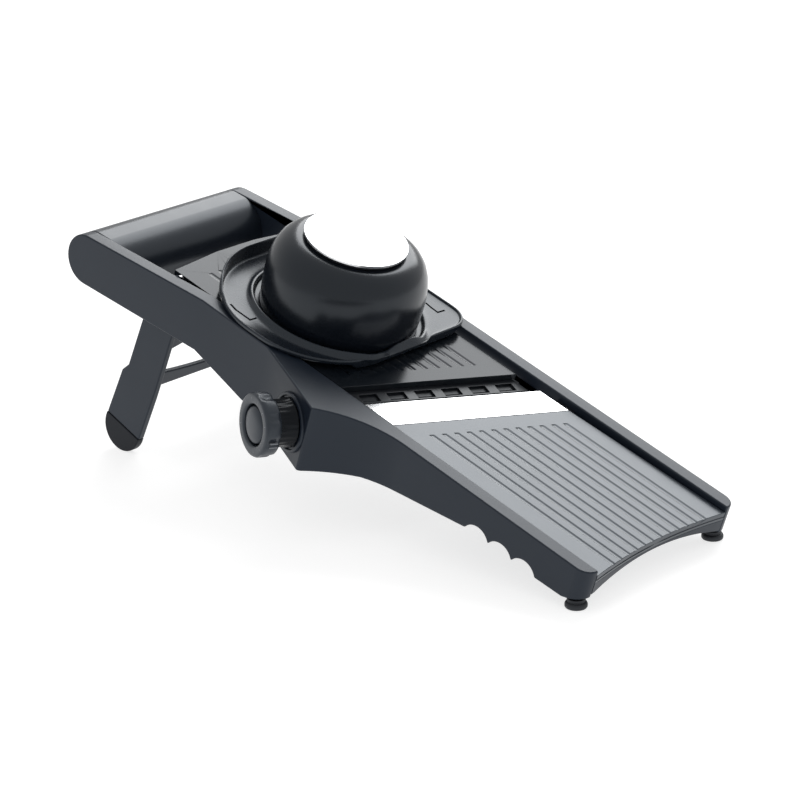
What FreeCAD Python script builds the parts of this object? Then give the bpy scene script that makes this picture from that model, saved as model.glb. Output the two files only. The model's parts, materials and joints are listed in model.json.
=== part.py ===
import FreeCAD, Part
import math
import os
import Sketcher
from FreeCAD import Placement, Rotation, Vector

# A mandoline slicer: a sloping moulded deck between two side frames, a slanted blade, a hinged
# infeed plate lowered by a cam knob, a fold-down leg and a hat-shaped food holder.
#
# Most pieces are drawn in the deck frame: x across the slicer, u up along the deck from its front
# edge and w square to the deck. Pieces along the blade use the blade frame, turned by the blade's
# slant about w, with its origin at the middle of the cutting edge. The knob frame has its z along
# the cam shaft, outwards, with its origin on the flared side. All sizes are millimetres and degrees.

os.makedirs("parts", exist_ok=True)
doc = FreeCAD.newDocument("Mandoline")

DRIVING_SIZES = {
    # stance
    "deck_tilt": 17.7, "front_height": 19.0, "post_base": 6.0, "post_length": 11.7,
    # side frames
    "half_width": 64.0, "rail_width": 9.0, "rail_rise": 3.2, "flange_depth": 8.0, "side_wall": 2.6,
    "corner_radius": 8.0, "bend_place": 284.0, "arm_drop": 6.6, "grip_place": 374.4, "arm_radius": 15.0,
    "arm_start": 333.0, "scallop_start": 30.0, "scallop_pitch": 16.3, "scallop_depth": 5.0,
    "lip_depth": 17.9, "belly_front": 176.0, "belly_rear": 241.5, "belly_depth": 37.4,
    "leg_bay_depth": 28.5, "front_screw": 21.0, "middle_screw": 85.0,
    # flare that carries the knob
    "flare_reach": 20.6, "flare_start": 128.0, "flare_corner": 177.5,
    # deck, blade and throat
    "deck_thickness": 5.0, "channel_depth": 3.0, "channel_width": 3.5, "front_setback": 4.2,
    "groove_pitch": 7.1, "groove_width": 3.3, "groove_depth": 0.9, "groove_margin": 11.9,
    "blade_slant": 20.7, "blade_place": 149.3, "blade_depth": 21.1, "blade_thickness": 1.0,
    "blade_free": 9.0, "seat_thickness": 6.0, "throat": 18.4, "piece_gap": 0.4,
    # infeed plate and slotted bar
    "plate_side_gap": 3.3, "plate_rear": 318.0, "plate_tongue": 4.0, "plate_thickness": 3.5,
    "pivot_place": 312.0, "pin_radius": 1.6, "bar_thickness": 2.7, "bar_front": 6.0, "bar_rear": 24.0,
    "window_pitch": 17.0, "window_width": 10.8, "window_front": 7.0, "window_rear": 13.8,
    # cam shaft and knob
    "shaft_back": 13.66, "shaft_radius": 3.5, "cam_wall": 0.6, "cam_throw": 3.2, "cam_gap": 1.0,
    "cam_width": 4.0, "knob_radius": 17.5, "knob_length": 22.4, "neck_radius": 13.0, "neck_length": 12.0,
    "button_radius": 10.6, "button_travel": 3.0,
    # julienne teeth
    "teeth_top": 7.5, "teeth_height": 13.5, "carrier_thickness": 3.0,
    # leg
    "leg_place": 313.0, "leg_depth": 19.5, "leg_length": 90.0, "leg_foot_radius": 14.0,
    "strap_thickness": 4.0, "leg_pin_radius": 3.0,
    # grip and feet
    "grip_front": 25.2, "grip_corner": 6.5, "core_radius": 4.0, "foot_radius": 6.0,
    "foot_height": 4.0, "foot_inset": 5.5, "foot_place": 10.5,
    # food holder
    "holder_place": 239.6, "tray_front": 47.0, "tray_rear": 64.4, "tray_near_front": 47.0,
    "tray_near_rear": 55.0, "tray_far_front": 16.0, "tray_far_rear": 40.0,
    "tray_thickness": 1.8, "tray_lift": 3.5, "tray_rim": 2.4, "tray_tail": 9.0, "dome_radius": 45.5,
    "dome_top": 47.6, "dome_shell": 2.6, "disc_radius": 29.2, "disc_thickness": 1.3, "ring_height": 1.7,
    "post_radius": 8.0, "pusher_radius": 32.0, "prong_radius": 0.8,
    # fits
    "running_fit": 0.05, "free_gap": 0.4,
}

sheet = doc.addObject("Spreadsheet::Sheet", "Sizes")
for row, (alias, value) in enumerate(DRIVING_SIZES.items(), start=1):
    sheet.set(f"A{row}", alias)
    sheet.set(f"B{row}", str(value))
    sheet.setAlias(f"B{row}", alias)
doc.recompute()


class Size:
    """A length or an angle that keeps the sheet expression it comes from beside its number."""

    def __init__(self, text, number):
        self.text = text
        self.number = number

    def __add__(self, other):
        return Size(f"({self.text} + {text_of(other)})", self.number + number_of(other))

    def __radd__(self, other):
        return self + other

    def __sub__(self, other):
        return Size(f"({self.text} - {text_of(other)})", self.number - number_of(other))

    def __rsub__(self, other):
        return Size(f"({text_of(other)} - {self.text})", number_of(other) - self.number)

    def __mul__(self, other):
        return Size(f"({self.text} * {text_of(other)})", self.number * number_of(other))

    def __rmul__(self, other):
        return self * other

    def __truediv__(self, other):
        return Size(f"({self.text} / {text_of(other)})", self.number / number_of(other))

    def __neg__(self):
        return Size(f"(0 - {self.text})", -self.number)


def text_of(value):
    return value.text if isinstance(value, Size) else f"{value:.6f}"


def number_of(value):
    return value.number if isinstance(value, Size) else float(value)


def sine(angle):
    return Size(f"sin({angle.text})", math.sin(math.radians(angle.number)))


def cosine(angle):
    return Size(f"cos({angle.text})", math.cos(math.radians(angle.number)))


def tangent(angle):
    return Size(f"tan({angle.text})", math.tan(math.radians(angle.number)))


class Named:
    """The driving sizes, read from the sheet by name."""

    def __getattr__(self, alias):
        return Size(f"Sizes.{alias}", float(sheet.get(alias)))


size = Named()

# ---------------------------------------------------------------- drawing helpers


def bind(thing, prop, value):
    thing.setExpression(prop, text_of(value))


def flat(point):
    return Vector(number_of(point[0]), number_of(point[1]), 0)


def pin_point(sketch, geometry, end, point):
    """Hold one sketch point at sheet-driven distances from the sketch's origin."""
    for kind, value in zip(("DistanceX", "DistanceY"), point):
        rule = Sketcher.Constraint(kind, -1, 1, geometry, end, number_of(value))
        index = sketch.addConstraint(rule)
        if isinstance(value, Size):
            sketch.setExpression(f"Constraints[{index}]", value.text)


def draw(sketch, path):
    """Draw a closed outline of (x, y) corners. A ("via", x, y) bends the side it stands on into an arc."""
    sides = []
    for index, start in enumerate(path):
        if start[0] == "via":
            continue
        after = path[(index + 1) % len(path)]
        if after[0] == "via":
            end = path[(index + 2) % len(path)]
            middle = after[1:]
            side = sketch.addGeometry(Part.Arc(flat(start), flat(middle), flat(end)), False)
            marker = sketch.addGeometry(Part.Point(flat(middle)), True)
            sketch.addConstraint(Sketcher.Constraint("PointOnObject", marker, 1, side))
            pin_point(sketch, marker, 1, middle)
        else:
            side = sketch.addGeometry(Part.LineSegment(flat(start), flat(after)), False)
        forward = sketch.getPoint(side, 1).distanceToPoint(flat(start)) < 1e-6
        first, last = (1, 2) if forward else (2, 1)
        pin_point(sketch, side, first, start)
        sides.append((side, first, last))
    for index, (side, _, last) in enumerate(sides):
        following, first, _ = sides[(index + 1) % len(sides)]
        sketch.addConstraint(Sketcher.Constraint("Coincident", side, last, following, first))


def new_body(name):
    return doc.addObject("PartDesign::Body", name)


def sketch_on(body, plane, offset, paths):
    sketch = body.newObject("Sketcher::SketchObject", body.Name + "_outline")
    origin_plane = next(o for o in body.Origin.OriginFeatures if o.Role == plane)
    sketch.AttachmentSupport = [(origin_plane, "")]
    sketch.MapMode = "FlatFace"
    bind(sketch, "AttachmentOffset.Base.z", offset)
    for path in paths:
        draw(sketch, path)
    return sketch


def pad(body, plane, low, high, *paths):
    """Add the outlines to the body, filled from low to high along the plane's normal."""
    feature = body.newObject("PartDesign::Pad", body.Name + "_pad")
    feature.Profile = sketch_on(body, plane, low, paths)
    bind(feature, "Length", high - low)
    doc.recompute()


def pocket(body, plane, low, high, *paths):
    """Cut the outlines out of the body from high down to low, and make sure that something was cut."""
    before = body.Shape.Volume
    feature = body.newObject("PartDesign::Pocket", body.Name + "_pocket")
    feature.Profile = sketch_on(body, plane, high, paths)
    bind(feature, "Length", high - low)
    doc.recompute()
    if not body.Shape.Volume < before:
        raise RuntimeError(f"{body.Name}: a pocket cuts nothing")


def turned(name, path, plane="XZ_Plane", axis="V_Axis"):
    """A round piece: the outline, drawn as (radius, height), turned about the sketch's upright axis."""
    body = new_body(name)
    feature = body.newObject("PartDesign::Revolution", name + "_turn")
    sketch = sketch_on(body, plane, 0.0, [path])
    feature.Profile = sketch
    feature.ReferenceAxis = (sketch, [axis])
    feature.Angle = 360
    doc.recompute()
    return body


def rod(name, radius, low, high):
    """A cylinder along the local z, from low to high."""
    cylinder = doc.addObject("Part::Cylinder", name)
    bind(cylinder, "Radius", radius)
    bind(cylinder, "Height", high - low)
    bind(cylinder, "Placement.Base.z", low)
    return cylinder


def rod_in(place, name, radius, low, high):
    """A cylinder along the z of another frame, from low to high."""
    cylinder = doc.addObject("Part::Cylinder", name)
    bind(cylinder, "Radius", radius)
    bind(cylinder, "Height", high - low)
    cylinder.Placement = place.multiply(Placement(Vector(0, 0, number_of(low)), Rotation()))
    return cylinder


def rod_across(name, radius, low, high, u, w):
    """A cylinder along x, from low to high, at a place on the deck's side view."""
    cylinder = doc.addObject("Part::Cylinder", name)
    bind(cylinder, "Radius", radius)
    bind(cylinder, "Height", high - low)
    cylinder.Placement = Placement(Vector(), Rotation(Vector(0, 1, 0), 90))
    for axis, value in zip("xyz", (low, u, w)):
        bind(cylinder, f"Placement.Base.{axis}", value)
    return cylinder


def block(name, x, u, w):
    """A box from pairs of low and high values."""
    box = doc.addObject("Part::Box", name)
    for side, axis, (low, high) in zip(("Length", "Width", "Height"), "xyz", (x, u, w)):
        bind(box, side, high - low)
        bind(box, f"Placement.Base.{axis}", low)
    return box


def combine(kind, name, base, tool):
    result = doc.addObject(f"Part::{kind}", name)
    result.Base = base
    result.Tool = tool
    return result


def group(name, things):
    result = doc.addObject("Part::Compound", name)
    result.Links = things
    return result


def fuse(name, things):
    result = doc.addObject("Part::MultiFuse", name)
    result.Shapes = things
    return result


def rectangle(x_low, x_high, y_low, y_high):
    return [(x_low, y_low), (x_high, y_low), (x_high, y_high), (x_low, y_high)]


nodes = []


def node(thing, place):
    """Put a finished piece in its place and keep it for writing."""
    thing.Label = thing.Name
    doc.recompute()
    for axis in "xyz":
        thing.setExpression("Placement.Base." + axis, None)
    thing.Placement = place.multiply(thing.Placement)
    nodes.append(thing)


# ---------------------------------------------------------------- frames

slant = size.blade_slant
slope = tangent(slant)
in_deck = Placement(Vector(0, 0, size.front_height.number), Rotation(Vector(1, 0, 0), size.deck_tilt.number))
blade_frame = Placement(Vector(0, size.blade_place.number, 0), Rotation(Vector(0, 0, 1), -slant.number))
in_blade = in_deck.multiply(blade_frame)

corner_x = -(size.half_width + size.flare_reach)
flare_plane = corner_x * cosine(slant) - (size.flare_corner - size.blade_place) * sine(slant)
cam_radius = size.shaft_radius + size.cam_throw + size.cam_wall
shaft_depth = size.plate_thickness + size.bar_thickness + cam_radius + size.cam_throw + size.cam_gap
shaft_origin = Placement(Vector(flare_plane.number, size.shaft_back.number, -shaft_depth.number),
                         Rotation(Vector(0, 1, 0), -90))
knob_frame = blade_frame.multiply(shaft_origin)
in_knob = in_deck.multiply(knob_frame)

rail_inner = size.half_width - size.rail_width
wall_inner = size.half_width - size.side_wall
flange_low = size.rail_rise - size.flange_depth
grip_w = (size.rail_rise - (size.grip_place - size.bend_place) * tangent(size.arm_drop)
          - size.arm_radius / cosine(size.arm_drop))
blade_front = size.blade_place - size.blade_depth
FAR_OUT = 40.0
SKIN = 1.0
body_rear = size.grip_place + 3 * size.arm_radius
plate_half = rail_inner - size.plate_side_gap


def along_blade(u, x):
    """The u of a line parallel to the blade that passes the middle of the deck at u."""
    return u - x * slope


# ---------------------------------------------------------------- side frames

post_w = -(size.front_height - size.post_base) / cosine(size.deck_tilt)
post_rear_w = post_w - size.post_length * tangent(size.deck_tilt)


def arm_edge(sign):
    """Where the arm's straight top (+1) or bottom (-1) edge meets its round end."""
    return (size.grip_place + sign * size.arm_radius * sine(size.arm_drop),
            grip_w + sign * size.arm_radius * cosine(size.arm_drop))


arm_end = ("via", size.grip_place + size.arm_radius * cosine(size.arm_drop),
           grip_w - size.arm_radius * sine(size.arm_drop))


CHEEK_RUN = 27.6
CHEEK_SHARE = 0.79
ARM_HEEL = 2.0
SCALLOPS = 3


def side_outline():
    """The side view of a side frame, from the front post along the top to the arm and back below."""
    path = [(0.0, size.rail_rise), (size.bend_place, size.rail_rise), arm_edge(1), arm_end, arm_edge(-1),
            (size.bend_place - ARM_HEEL, -size.leg_bay_depth), (size.belly_rear, -size.belly_depth),
            (size.belly_front, -size.belly_depth),
            (size.belly_front - CHEEK_RUN, -CHEEK_SHARE * size.belly_depth)]
    scallop_end = size.scallop_start + SCALLOPS * size.scallop_pitch
    path.append((scallop_end, -size.lip_depth))
    for notch in reversed(range(SCALLOPS)):
        start = size.scallop_start + notch * size.scallop_pitch
        path.append(("via", start + size.scallop_pitch / 2, size.scallop_depth - size.lip_depth))
        path.append((start, -size.lip_depth))
    path += [(size.post_length, post_rear_w), (0.0, post_w)]
    return path


WALL_LEAN = 0.9


def flare_arc(sign, offset):
    """The middle and the end of the flare's front arc; offset moves it inwards from the outer face."""
    half = size.flare_reach / (size.flare_corner - size.flare_start)
    squeeze = 1 + half * half
    radius = (size.flare_corner - size.flare_start) * squeeze / (2 * half)
    centre = size.half_width + radius
    bend = Size(f"atan({half.text})", math.degrees(math.atan(half.number)))
    middle = (sign * (centre - (radius + offset) * cosine(bend)),
              size.flare_start + (radius + offset) * sine(bend))
    end = (sign * (-corner_x - offset * (cosine(slant) + WALL_LEAN * sine(slant))),
           size.flare_corner + offset * (WALL_LEAN * cosine(slant) - sine(slant)))
    return middle, end


flare_rear = size.flare_corner + size.flare_reach / slope


def plan_outline(sign, flared):
    """The plan of a side frame: sign is -1 on the left; the flare is on the left side only."""
    radius = size.corner_radius
    nook = radius * (1 - math.sqrt(0.5))
    outer = sign * size.half_width
    path = [(sign * rail_inner, 0.0), (sign * (size.half_width - radius), 0.0),
            ("via", sign * (size.half_width - nook), nook), (outer, radius)]
    if flared:
        middle, end = flare_arc(-1, 0.0)
        path += [(outer, size.flare_start), ("via", *middle), end, (outer, flare_rear)]
    path += [(outer, body_rear), (sign * rail_inner, body_rear)]
    return path


BAY_OVERLAP = 2.0
FLARE_STEP = 0.5


def bay_outline(sign, flared):
    """The hollow below the rail, between the side wall and the deck."""
    front = size.post_length + size.side_wall
    inside = sign * (rail_inner - BAY_OVERLAP)
    wall = sign * wall_inner
    path = [(inside, front), (wall, front)]
    if flared:
        middle, end = flare_arc(-1, size.side_wall)
        path += [(wall, size.flare_start), ("via", *middle), end, (wall, flare_rear - FLARE_STEP)]
    path += [(wall, size.arm_start), (inside, size.arm_start)]
    return path


SCREW_RADIUS = 1.5
SCREW_HEAD_RADIUS = 2.8
SCREW_HEAD_HEIGHT = 1.8
TAB_THICKNESS = 2.2
TAB_LENGTH = 10.0
TAB_ROOT = 4.0
TAB_REACH = 2.8
TAB_STEP = 0.6
SCREW_INSET = 3.4
SCREW_DEPTH = 5.0
BORE_SPARE = 0.5
screw_x = rail_inner + SCREW_INSET
screw_low = flange_low - TAB_THICKNESS
screw_high = flange_low + SCREW_DEPTH


def seat_screw_place(sign):
    """The u of the screw that holds the blade seat on one side."""
    return blade_front + TAB_LENGTH / 2 + TAB_STEP - sign * rail_inner * slope


deck_tab_places = [(sign, place) for sign in (-1, 1) for place in (size.front_screw, size.middle_screw)]
seat_tab_places = [(sign, seat_screw_place(sign)) for sign in (-1, 1)]
screw_places = deck_tab_places + seat_tab_places

STUB_RADIUS = 3.0
STUB_DEPTH = 5.0
HUB_RADIUS = 6.0
PIN_REACH = 3.2
PIN_SPARE = 0.4
CORE_REACH = 5.0


def foot_axis(sign):
    """A front foot stands upright on the floor, so its axis isn't tilted with the deck."""
    foot_x = sign * (size.half_width - size.foot_inset)
    upright = Placement(Vector(foot_x.number, size.foot_place.number, 0), Rotation())
    return in_deck.inverse().multiply(upright)


def side_frame(name, sign, flared):
    block_plan = new_body(name + "_plan")
    pad(block_plan, "XY_Plane", -1.5 * FAR_OUT, FAR_OUT / 2 + size.rail_rise, plan_outline(sign, flared))
    side_view = new_body(name + "_side")
    pad(side_view, "YZ_Plane", -3 * FAR_OUT, 3 * FAR_OUT + size.half_width, side_outline())
    shell = combine("Common", name + "_shell", block_plan, side_view)
    bay = new_body(name + "_bay")
    pad(bay, "XY_Plane", -FAR_OUT - size.belly_depth, flange_low, bay_outline(sign, flared))
    holes = [bay]

    def across(hole, radius, depth, u, w):
        low, high = rail_inner - SKIN, rail_inner + depth
        if sign < 0:
            low, high = -high, -low
        holes.append(rod_across(f"{name}_{hole}", radius, low, high, u, w))

    across("plate_bore", size.pin_radius + size.running_fit, PIN_REACH + PIN_SPARE,
           size.pivot_place, -size.plate_thickness / 2)
    across("leg_bore", size.leg_pin_radius, size.rail_width - SKIN, size.leg_place, -size.leg_depth)
    across("core_bore", size.core_radius, CORE_REACH, size.grip_place, grip_w)
    for side, place in screw_places:
        if side == sign:
            hole = rod(f"{name}_screw_bore", SCREW_RADIUS, flange_low - SKIN, screw_high)
            bind(hole, "Placement.Base.x", sign * screw_x)
            bind(hole, "Placement.Base.y", place)
            holes.append(hole)
    if flared:
        reach = 3 * size.side_wall
        holes.append(rod_in(knob_frame, name + "_hub_bore", HUB_RADIUS, -reach, reach))
    holes.append(rod_in(foot_axis(sign), name + "_foot_bore", STUB_RADIUS, SKIN, size.post_base + STUB_DEPTH))
    return combine("Cut", name, shell, fuse(name + "_holes", holes))


node(side_frame("left_side", -1, True), in_deck)
node(side_frame("right_side", 1, False), in_deck)

# ---------------------------------------------------------------- front deck


def front_edge(half, u):
    """The deck's front edge, bowed back at the middle, from right to left."""
    return [(half, u), ("via", 0.0, u + size.front_setback), (-half, u)]


def deck_outline(front_half, rear_half, rear_u):
    path = front_edge(front_half, 0.0)
    path.append((-rear_half, along_blade(rear_u, -rear_half)))
    path.append((rear_half, along_blade(rear_u, rear_half)))
    return path


def screw_tab(sign, place):
    low, high = rail_inner - TAB_ROOT, screw_x + TAB_REACH
    if sign < 0:
        low, high = -screw_x - TAB_REACH, TAB_ROOT - rail_inner
    return rectangle(low, high, place - TAB_LENGTH / 2, place + TAB_LENGTH / 2)


def tabs_cut(name, base, places):
    """Clearance holes for the screws in a cross piece's tabs."""
    holes = []
    for sign, place in places:
        hole = rod(name + "_screw_hole", SCREW_RADIUS, screw_low - SKIN, flange_low + SKIN)
        bind(hole, "Placement.Base.x", sign * screw_x)
        bind(hole, "Placement.Base.y", place)
        holes.append(hole)
    return combine("Cut", name, base, fuse(name + "_holes", holes))


DECK_GROOVES = 12
GROOVE_RUNOUT = 5.0
CHANNEL_EASE = 0.3
deck_rear = blade_front - size.piece_gap
deck_half = rail_inner - size.channel_width
deck_body = new_body("deck_body")
pad(deck_body, "XY_Plane", -size.deck_thickness, -size.channel_depth,
    deck_outline(rail_inner, rail_inner, deck_rear))
pad(deck_body, "XY_Plane", -size.channel_depth, 0.0,
    deck_outline(rail_inner - CHANNEL_EASE, deck_half, deck_rear))
pad(deck_body, "XY_Plane", screw_low, flange_low, *[screw_tab(*tab) for tab in deck_tab_places])
grooves = []
for index in range(DECK_GROOVES):
    centre = (index - (DECK_GROOVES - 1) / 2) * size.groove_pitch
    low, high = centre - size.groove_width / 2, centre + size.groove_width / 2
    rear = deck_rear - size.groove_margin
    grooves.append([(low, -GROOVE_RUNOUT), (high, -GROOVE_RUNOUT), (high, along_blade(rear, high)),
                    (low, along_blade(rear, low))])
pocket(deck_body, "XY_Plane", -size.groove_depth, 0.0, *grooves)
node(tabs_cut("outfeed_deck", deck_body, deck_tab_places), in_deck)

SKIRT_DEPTH = 7.0
SKIRT_MIDDLE = 1.5
ARCH_MARGIN = 3.0
skirt = new_body("front_skirt")
skirt_low = -size.deck_thickness - SKIRT_DEPTH
skirt_wall = front_edge(rail_inner, 0.0) + [
    (-rail_inner, size.side_wall), ("via", 0.0, size.side_wall + size.front_setback),
    (rail_inner, size.side_wall)]
pad(skirt, "XY_Plane", skirt_low, -size.deck_thickness, skirt_wall)
arch_half = rail_inner - ARCH_MARGIN
pocket(skirt, "XZ_Plane", -FAR_OUT, FAR_OUT, [
    (-arch_half, skirt_low - SKIRT_DEPTH), (arch_half, skirt_low - SKIRT_DEPTH), (arch_half, skirt_low),
    ("via", 0.0, -size.deck_thickness - SKIRT_MIDDLE), (-arch_half, skirt_low)])
node(skirt, in_deck)

# ---------------------------------------------------------------- blade and its seat

blade_half = deck_half - size.piece_gap


def slanted_strip(half, front_u, rear_u):
    """A strip parallel to the blade whose ends are square to the rails."""
    return [(-half, along_blade(front_u, -half)), (half, along_blade(front_u, half)),
            (half, along_blade(rear_u, half)), (-half, along_blade(rear_u, -half))]


RIVET_RADIUS = 3.0
RIVET_DEPTH = 3.0
RIVET_STAND = 0.2
RIVET_SHARE = 0.73
rivet_u = size.blade_place - size.blade_depth * RIVET_SHARE
blade_plate = new_body("blade_plate")
pad(blade_plate, "XY_Plane", -size.blade_thickness, 0.0,
    slanted_strip(blade_half, blade_front, size.blade_place))
rivet_hole = rod("rivet_hole", RIVET_RADIUS, -size.blade_thickness - SKIN, SKIN)
bind(rivet_hole, "Placement.Base.y", rivet_u)
node(combine("Cut", "blade", blade_plate, rivet_hole), in_deck)

seat_rear = size.blade_place - size.blade_free
seat_body = new_body("seat_body")
pad(seat_body, "XY_Plane", -size.blade_thickness - size.seat_thickness, -size.blade_thickness,
    slanted_strip(rail_inner, deck_rear, seat_rear))
pad(seat_body, "XY_Plane", screw_low, flange_low, *[screw_tab(*tab) for tab in seat_tab_places])
rivet_seat = rod("rivet_seat", RIVET_RADIUS, -size.blade_thickness - RIVET_DEPTH, SKIN)
bind(rivet_seat, "Placement.Base.y", rivet_u)
seat_cut = combine("Cut", "seat_cut", seat_body, rivet_seat)
GUIDE_RADIUS = 2.0
GUIDE_LENGTH = 19.0
GUIDE_BACK = -13.0
GUIDE_SPREAD = 38.0
BAR_SHIFT = 10.0
bar_middle = -BAR_SHIFT * sine(slant)
guide_places = [bar_middle + side * GUIDE_SPREAD for side in (-1, 1)]
node(tabs_cut("blade_seat", seat_cut, seat_tab_places), in_deck)

rivet = rod("blade_rivet", RIVET_RADIUS, -size.blade_thickness - RIVET_DEPTH, RIVET_STAND)
bind(rivet, "Placement.Base.y", rivet_u)
node(rivet, in_deck)

screws = []
for sign, place in screw_places:
    head = rod("screw_head", SCREW_HEAD_RADIUS, screw_low - SCREW_HEAD_HEIGHT, screw_low)
    shank = rod("screw_shank", SCREW_RADIUS, screw_low - BORE_SPARE, screw_high - BORE_SPARE)
    for piece in (head, shank):
        bind(piece, "Placement.Base.x", sign * screw_x)
        bind(piece, "Placement.Base.y", place)
    screws.append(fuse("screw", [head, shank]))
node(group("frame_screws", screws), in_deck)

# ---------------------------------------------------------------- julienne teeth under the throat

WINDOWS = 6
guide_top = -size.blade_thickness - size.seat_thickness
carrier_top = -size.teeth_top - size.teeth_height
carrier_low = carrier_top - size.carrier_thickness
node(group("teeth_guides", [
    rod_in(Placement(Vector(number_of(place), GUIDE_BACK, 0), Rotation()), "teeth_guide", GUIDE_RADIUS,
           guide_top - GUIDE_LENGTH, guide_top) for place in guide_places]), in_blade)

CARRIER_FRONT = 6.0
CARRIER_REAR = 9.2
LUG_HALF = 4.0
CARRIER_END = 4.4
window_middles = [bar_middle + (index - (WINDOWS - 1) / 2) * size.window_pitch for index in range(WINDOWS)]
carrier_left = window_middles[0] - CARRIER_END
carrier_right = window_middles[-1] + CARRIER_END
carrier_body = new_body("carrier_body")
pad(carrier_body, "XY_Plane", carrier_low, carrier_top,
    rectangle(carrier_left, carrier_right, CARRIER_FRONT, CARRIER_REAR))
pad(carrier_body, "XY_Plane", carrier_low, carrier_top, *[
    rectangle(place - LUG_HALF, place + LUG_HALF, GUIDE_BACK - LUG_HALF, CARRIER_FRONT + SKIN)
    for place in guide_places])
guide_bores = [
    rod_in(Placement(Vector(number_of(place), GUIDE_BACK, 0), Rotation()), "guide_bore",
           GUIDE_RADIUS + size.running_fit, carrier_low - SKIN, carrier_top + SKIN) for place in guide_places]
node(combine("Cut", "teeth_carrier", carrier_body, fuse("guide_bores", guide_bores)), in_blade)

TOOTH_WIDTH = 0.8
TOOTH_SPREAD = 2.8
TOOTH_GAP = 0.5
teeth = []
for middle in window_middles:
    for side in (-1, 1):
        left = middle + side * TOOTH_SPREAD - TOOTH_WIDTH / 2
        teeth.append(block("tooth", (left, left + TOOTH_WIDTH), (size.window_front + TOOTH_GAP, CARRIER_REAR),
                           (carrier_top, -size.teeth_top)))
node(group("julienne_teeth", teeth), in_blade)

# ---------------------------------------------------------------- infeed plate and slotted bar

plate_front = size.blade_place + size.throat
PLATE_GROOVES = 11
TONGUE_HALF = 15.0
plate_body = new_body("plate_body")
pad(plate_body, "XY_Plane", -size.plate_thickness, 0.0, [
    (-plate_half, along_blade(plate_front, -plate_half)),
    (plate_half, along_blade(plate_front, plate_half)),
    (plate_half, size.plate_rear), (TONGUE_HALF, size.plate_rear + size.plate_tongue),
    (-TONGUE_HALF, size.plate_rear + size.plate_tongue), (-plate_half, size.plate_rear)])
plate_grooves = []
for index in range(PLATE_GROOVES):
    centre = (index - (PLATE_GROOVES - 1) / 2) * size.groove_pitch
    low, high = centre - size.groove_width / 2, centre + size.groove_width / 2
    front = plate_front + size.groove_margin
    rear = size.plate_rear - size.groove_margin
    plate_grooves.append([(low, along_blade(front, low)), (high, along_blade(front, high)),
                          (high, rear), (low, rear)])
pocket(plate_body, "XY_Plane", -size.groove_depth, 0.0, *plate_grooves)
pin_w = -size.plate_thickness / 2
PIN_DEPTH = 6.0
pin_low, pin_high = plate_half - PIN_DEPTH, rail_inner + PIN_REACH
pin_seats = [
    rod_across("pin_seat_left", size.pin_radius, -pin_high, -pin_low, size.pivot_place, pin_w),
    rod_across("pin_seat_right", size.pin_radius, pin_low, pin_high, size.pivot_place, pin_w)]
node(combine("Cut", "infeed_plate", plate_body, fuse("pin_seats", pin_seats)), in_deck)
node(group("plate_pins", [
    rod_across("plate_pin_left", size.pin_radius, -pin_high, -pin_low, size.pivot_place, pin_w),
    rod_across("plate_pin_right", size.pin_radius, pin_low, pin_high, size.pivot_place, pin_w)]), in_deck)

bar_body = new_body("bar_body")
bar_top = -size.plate_thickness
pad(bar_body, "XY_Plane", bar_top - size.bar_thickness, bar_top,
    rectangle(-2 * FAR_OUT, 2 * FAR_OUT, size.bar_front, size.bar_rear))
WINDOW_FLOOR = 1.2
SLIT_SPARE = 0.6


def windows(rear):
    """The six windows of the slotted bar, from their front edge back to rear."""
    half = size.window_width / 2
    return [rectangle(middle - half, middle + half, size.window_front, rear) for middle in window_middles]


pocket(bar_body, "XY_Plane", bar_top - size.bar_thickness + WINDOW_FLOOR, bar_top, *windows(size.window_rear))
pocket(bar_body, "XY_Plane", bar_top - size.bar_thickness, bar_top, *windows(CARRIER_REAR + SLIT_SPARE))
BAR_INSET = 1.4
bar_half = plate_half - BAR_INSET
bar_band = block("bar_band", (-bar_half, bar_half), (blade_front - FAR_OUT, size.blade_place + 2 * FAR_OUT),
                 (-FAR_OUT / 2, 0.0))
doc.recompute()
for axis in "xyz":
    bar_band.setExpression("Placement.Base." + axis, None)
bar_band.Placement = blade_frame.inverse().multiply(bar_band.Placement)
node(combine("Common", "slotted_bar", bar_body, bar_band), in_blade)

# ---------------------------------------------------------------- cam shaft and thickness knob

SHAFT_LOCAL_END = 14.0
KNOB_FLOOR = 15.0
BEARING_STAND = 2.8
SHAFT_STOP = 1.2
LEFT_CAM = 52.7
RIGHT_CAM = 50.0
bearing_x = (plate_half + BEARING_STAND, wall_inner)
shaft_length = (wall_inner - SHAFT_STOP - knob_frame.Base.x) / cosine(slant)
node(rod("cam_shaft", size.shaft_radius, -shaft_length, SHAFT_LOCAL_END), in_knob)

cams = []
for along in (bar_middle - LEFT_CAM, bar_middle + RIGHT_CAM):
    depth = flare_plane - along
    disc = rod("cam_disc", cam_radius, depth - size.cam_width / 2, depth + size.cam_width / 2)
    bind(disc, "Placement.Base.x", size.cam_throw)
    bore = rod("cam_bore", size.shaft_radius, depth - size.cam_width, depth + size.cam_width)
    cams.append(combine("Cut", "cam", disc, bore))
node(group("cams", cams), in_knob)

COLLAR_RADIUS = 15.0
COLLAR_THICKNESS = 0.8
BUSHING_DEPTH = 6.0
bearing_radius = size.shaft_radius + size.running_fit
node(turned("shaft_bushing", [
    (bearing_radius, -BUSHING_DEPTH), (HUB_RADIUS, -BUSHING_DEPTH), (HUB_RADIUS, 0.0), (COLLAR_RADIUS, 0.0),
    (COLLAR_RADIUS, COLLAR_THICKNESS), (bearing_radius, COLLAR_THICKNESS)]), in_knob)

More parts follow.
